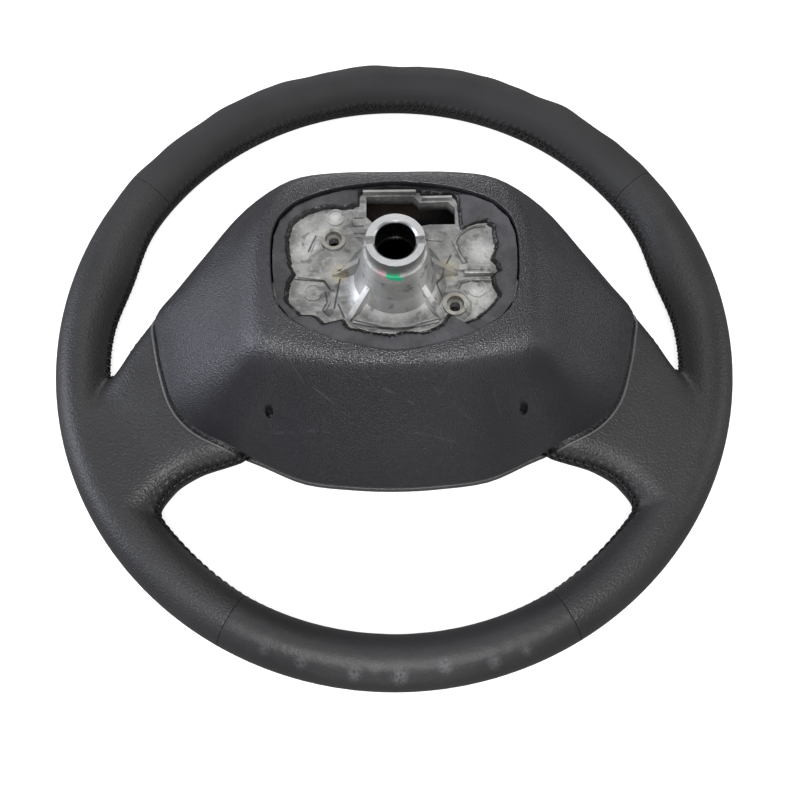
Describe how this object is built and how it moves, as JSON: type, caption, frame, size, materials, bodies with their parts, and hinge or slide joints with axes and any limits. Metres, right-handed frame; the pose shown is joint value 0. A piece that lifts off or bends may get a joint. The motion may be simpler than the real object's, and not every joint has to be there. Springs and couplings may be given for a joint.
{
  "type": "car steering wheel",
  "caption": "Leather-wrapped car steering wheel with cast armature, splined hub, moulded rear cover and a sprung horn module.",
  "frame": {"origin": "on the wheel axis, in the front plane of the rim, on which the wheel rests face down", "axes": "+Z along the wheel axis towards the steering column, +Y to the top of the rim (12 o'clock)"},
  "size_m": [0.3742, 0.3742, 0.131],
  "materials": {
    "cast_alloy": "satin die-cast skin",
    "machined_steel": "turned face, dark greased bore",
    "moulded_foam": "fine matte skin of moulded foam",
    "smooth_leather": "smooth black leather, worn to a soft sheen",
    "grained_leather": "pebble-grained black leather",
    "cover_plastic": "fine-grained moulded plastic",
    "screw_steel": "dark zinc",
    "trim_plastic": "fine-grained moulded plastic",
    "pad_plastic": "soft grained pad skin",
    "plated_steel": "zinc plate",
    "cushion_fabric": "coated woven cloth, folded",
    "nut_steel": "yellow zinc",
    "pin_steel": "bright turned",
    "bush_plastic": "natural acetal",
    "contact_metal": "copper-coloured contact strip",
    "spring_steel": "bright spring wire"
  },
  "bodies": {
    "wheel": {"armature": "cast_alloy", "spline_bush": "machined_steel", "foam_body": "moulded_foam", "leather_top": "smooth_leather", "leather_left": "grained_leather", "leather_right": "grained_leather", "leather_bottom": "smooth_leather", "rear_cover": "cover_plastic", "cover_screw_left": "screw_steel", "cover_screw_right": "screw_steel", "front_bezel": "trim_plastic", "guide_bushes": "bush_plastic", "contact_plate": "contact_metal", "horn_spring_1": "spring_steel", "horn_spring_2": "spring_steel", "horn_spring_3": "spring_steel", "horn_spring_4": "spring_steel"},
    "horn_module": {"horn_pad": "pad_plastic", "module_housing": "plated_steel", "inflator": "plated_steel", "airbag_cushion": "cushion_fabric", "cushion_retainer": "plated_steel", "retainer_nuts": "nut_steel", "guide_pins": "pin_steel", "contact_studs": "contact_metal"}
  },
  "joints": [
    {"name": "horn_press", "type": "slide", "parent": "wheel", "child": "horn_module", "axis": [0, 0, 1], "range_m": [0, 0.0017], "stiffness_N_per_m": 6000, "springref_m": -0.004, "deforming": ["horn_spring_1", "horn_spring_2", "horn_spring_3", "horn_spring_4"]}
  ]
}
